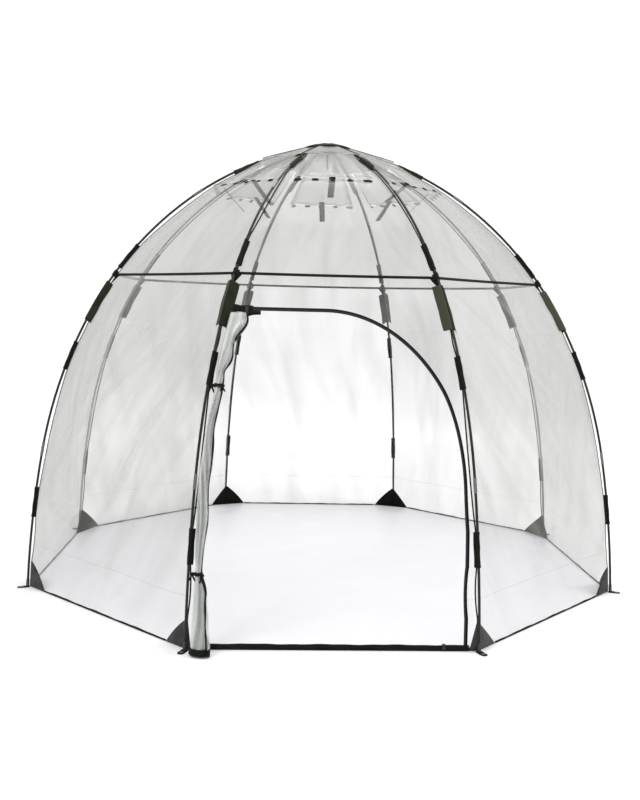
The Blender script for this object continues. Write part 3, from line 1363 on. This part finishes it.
def make_props():
    """A stiff strap under each vent flap, bowed a little, with a grey hook patch at its sewn end."""
    hinge, slope, _ = flap_frame()
    root_z = hinge[1] - (PROP_ROOT_X - hinge[0]) * tan(slope) - PROP_DROP
    for k in SIDE_NUMBERS:
        lean = radians(PROP_LEAN[k - 1])
        rng = np.random.default_rng(700 + k)
        bow = rng.uniform(0.0008, 0.0022)
        parts = Parts()
        for low, high, inset, half_t in ((0.0, 1.0, 0, 0.0010), (0.02, 0.24, 0.003, 0.0017),
                                         (0.80, 0.98, 0.002, 0.0015)):
            rows = []
            for share in np.linspace(low, high, 15):
                end = min(share - low, high - share) / (high - low)
                w = (PROP_W / 2 - inset) * (1 - 0.10 * exp(-end * 40))
                s = PROP_GAP + PROP_LEN * share
                off = bow * sin(pi * share)
                section = [(-half_t * 0.6, -w), (-half_t, -w * 0.94), (-half_t, w * 0.94), (-half_t * 0.6, w),
                           (half_t * 0.6, w), (half_t, w * 0.94), (half_t, -w * 0.94), (half_t * 0.6, -w)]
                rows.append([
                    side_place(k, PROP_ROOT_X - s * sin(lean) + (t + off) * cos(lean), v,
                               root_z - s * cos(lean) - (t + off) * sin(lean))
                    for t, v in section
                ])
            parts.add_tube(rows)
        node = f"vent_prop_{k}"
        parts.piece(f"prop_{k}", prop_cloth, body=node, slot="prop_strap", stands_for=[node])


# ---- Base: corner patches, hem, sill and peg loops ----


def gusset_reach(k, end):
    """How far a corner patch reaches along side k from its end at +y or -y."""
    if k != DOOR_SIDE:
        return GUSSET_LEN
    return GUSSET_DOOR_LEN if end > 0 else GUSSET_HINGE_LEN


def make_gussets():
    """Folded cloth over each corner: a triangle up each wall, lined inside, and one on the floor."""
    parts, lining = Parts(), Parts()
    for k in SIDE_NUMBERS:
        for end in (-1, 1):
            reach = gusset_reach(k, end)
            fullness = 0.25 if (k, end) == (DOOR_POLE, 1) else 1.0 if reach > 0.05 else 0.0
            rows, inner = [], []
            for up in np.linspace(0, 1, 18):
                z = 0.0022 + (GUSSET_H - 0.0022) * up
                bulge = sin(pi * up)
                width = 0.003 + (reach - 0.003) * (1 - up) ** (0.88 + 0.10 * (k % 3))
                width = width + 0.006 * bulge * (reach > 0.05)
                v = np.linspace(0, 1, 16)
                y = end * (half_side_at(z) + 0.001 - width * v)
                ridge = sum(np.exp(-((v - c + 0.25 * up) / 0.05) ** 2) for c in (0.30, 0.55, 0.82))
                puff = 0.0035 * bulge * np.sin(pi * v) + 0.0016 * ridge * (1 - up)
                rows.append(film_layers(k, y, z, 0.0022 + puff * fullness, 0.0006))
                inner.append(film_layers(k, y, z, -0.0006, -0.0016))
            parts.add_tube(rows)
            if reach > 0.05:
                lining.add_tube(inner)
        a = 2 * HALF * (k - 0.5)
        v = np.linspace(-1, 1, 15)
        rows = []
        for share in np.linspace(0.02, 1, 12):
            x = FOOT_R + FILM_OFF - 0.004 - FLOOR_PATCH * sin(HALF) * share
            y = FLOOR_PATCH * cos(HALF) * share * v
            upper = turned(a, x, y, 0.0036 + 0.0007 * np.sin(9 * v * share + k))
            rows.append(np.concatenate((upper, turned(a, x, y, 0.0022)[::-1])))
        lining.add_tube(rows)
    lining.piece("gusset_lining", black_cloth, slot="black_webbing")
    parts.piece("gusset_cloth", gusset_cloth, slot="black_webbing", stands_for=["corner_gussets"])


def make_hem():
    """The bound hem round the foot of the walls, and the wider sill under the doorway."""
    parts = Parts()
    rng = np.random.default_rng(5)
    for k in SIDE_NUMBERS:
        half = half_side_at(0.002)
        tall, thick = (SILL_H, 0.003) if k == DOOR_SIDE else (HEM_H, 0.0015)
        phase = rng.uniform(0, 6)
        rows = []
        for y in np.linspace(gusset_reach(k, -1) + 0.0005 - half, half - gusset_reach(k, 1) - 0.0005, 90):
            wave = 0.0006 * sin(y * 23 + phase) + 0.0004 * sin(y * 61 + 2 * phase)
            z = np.array((0.0006, 0.0012, tall * 0.5, tall - 0.001, tall))
            z = z + np.array((0, 0, 1, 1.6, 1.6)) * wave
            out = np.array((0.2, 1.0, 1.15, 1.0, 0.3)) * thick + 0.0006
            rows.append(film_layers(k, y, z, out, 0.0004))
        parts.add_tube(rows)
    parts.piece("hem_tape", black_webbing, slot="black_webbing", stands_for=["base_hem"])


def loop_edge(a):
    """Distance from the eyelet's middle to the loop's edge in direction a."""
    c, s = cos(a), sin(a)
    round_x = LOOP_START + LOOP_LEN - LOOP_HALF_W - EYELET_R
    hits = []
    if abs(s) > 1e-6:
        hits.append(LOOP_HALF_W / abs(s))
    if c < 0:
        hits.append((EYELET_R - LOOP_START) / -c)
    straight = min(hits) if hits else 1.0
    if straight * c <= round_x:
        return straight
    return round_x * c + sqrt(LOOP_HALF_W**2 - (round_x * s) ** 2)


def make_loops():
    """A webbing loop with a punched eyelet hole at each corner."""
    parts = Parts()
    angles = np.linspace(0, tau, 56, endpoint=False)
    edge = np.array([loop_edge(a) for a in angles])
    for k in SIDE_NUMBERS:
        rows = []
        for share, z in ((0, 0.0004), (0, LOOP_T), (0.3, LOOP_T + 0.0003), (0.9, LOOP_T),
                         (1, LOOP_T - 0.0006), (1, 0.0008), (0.9, 0.0004), (0, 0.0004)):
            r = EYELET_HOLE_R + (edge - EYELET_HOLE_R) * share
            x, y = EYELET_R + r * np.cos(angles), r * np.sin(angles)
            wave = 0.0003 * np.sin(x * 300 + k) * (share > 0)
            rows.append(turned(2 * HALF * (k - 0.5), x, y, z + wave))
        parts.add_grid(rows, closed=True)
    parts.piece("loop_webbing", black_webbing, slot="black_webbing", stands_for=["peg_loops"])


make_ties()
make_flap()
make_zip()
make_dots()
make_props()
make_gussets()
make_hem()
make_loops()

# ---- What each sheet of film or cloth was cut from ----


# ---- Camera, light and floor ----

CAMERA_TURN = radians(-2.671)
CAMERA_DOWN = radians(5.506)
CAMERA_ROLL = radians(1.335)
CAMERA_PLACE = Vector((-0.009, -4.9296, 1.3233))
# The stage floor is a little greyer within the near radius, for some shadow, and near white past the far one
STAGE_NEAR_R = 2.0
STAGE_FAR_R = 5.0
STAGE_HALF = 60.0
STAGE_Z = -0.0004


def make_camera():
    """The photo's view."""
    data = bpy.data.cameras.new("camera")
    data.lens = 42.26
    data.sensor_width = 36
    cam = add_object("camera", data)
    turn = Matrix.Rotation(CAMERA_TURN, 4, "Z")
    tilt = Matrix.Rotation(pi / 2 - CAMERA_DOWN, 4, "X") @ Matrix.Rotation(CAMERA_ROLL, 4, "Z")
    cam.matrix_world = turn @ Matrix.Translation(CAMERA_PLACE) @ tilt
    bpy.context.scene.camera = cam


def area_light(name, place, target, size, power):
    """A soft rectangular lamp that faces target."""
    data = bpy.data.lights.new(name, "AREA")
    data.shape = "RECTANGLE"
    data.size, data.size_y = size
    data.energy = power
    lamp = add_object(name, data)
    lamp.location = place
    lamp.rotation_euler = (Vector(target) - Vector(place)).to_track_quat("-Z", "Y").to_euler()


def make_stage():
    """Pale ground, white surroundings and three lamps."""
    m = Nodes("stage_floor")
    place = m.split()
    square = m.math("ADD", m.times(place["X"], place["X"]), m.times(place["Y"], place["Y"]))
    far = m.ranged(square, STAGE_NEAR_R**2, STAGE_FAR_R**2, 0.0, 1.0)
    near_tone = m.blended(m.noise(0.6, 2.0), (0.80, 0.80, 0.80), (0.82, 0.82, 0.82))
    m.set(Base_Color=m.blended(far, near_tone, (0.98, 0.98, 0.98)), Roughness=0.9, Specular_IOR_Level=0.1)
    mesh = bpy.data.meshes.new("stage_floor")
    corners = ((-1, -1), (1, -1), (1, 1), (-1, 1))
    mesh.from_pydata([(STAGE_HALF * x, STAGE_HALF * y, STAGE_Z) for x, y in corners], [], [(0, 1, 2, 3)])
    mesh.materials.append(m.material)
    add_object("stage_floor", mesh)
    world = bpy.data.worlds.new("studio")
    world.use_nodes = True
    background = world.node_tree.nodes["Background"]
    background.inputs["Color"].default_value = (1.0, 1.0, 1.0, 1)
    background.inputs["Strength"].default_value = 1.08
    bpy.context.scene.world = world
    area_light("key", (-3.5, -4.5, 5.5), (0, 0, 0.8), (2.5, 2.5), 160)
    area_light("side", (5.0, -2.0, 3.5), (0, 0, 0.9), (1.2, 3.0), 110)
    area_light("top", (0.5, 1.0, 6.5), (0, 0, 1.0), (3.0, 3.0), 120)
    bpy.context.scene.view_settings.view_transform = "Standard"
    bpy.context.scene.cycles.transparent_max_bounces = 48


make_camera()
make_stage()
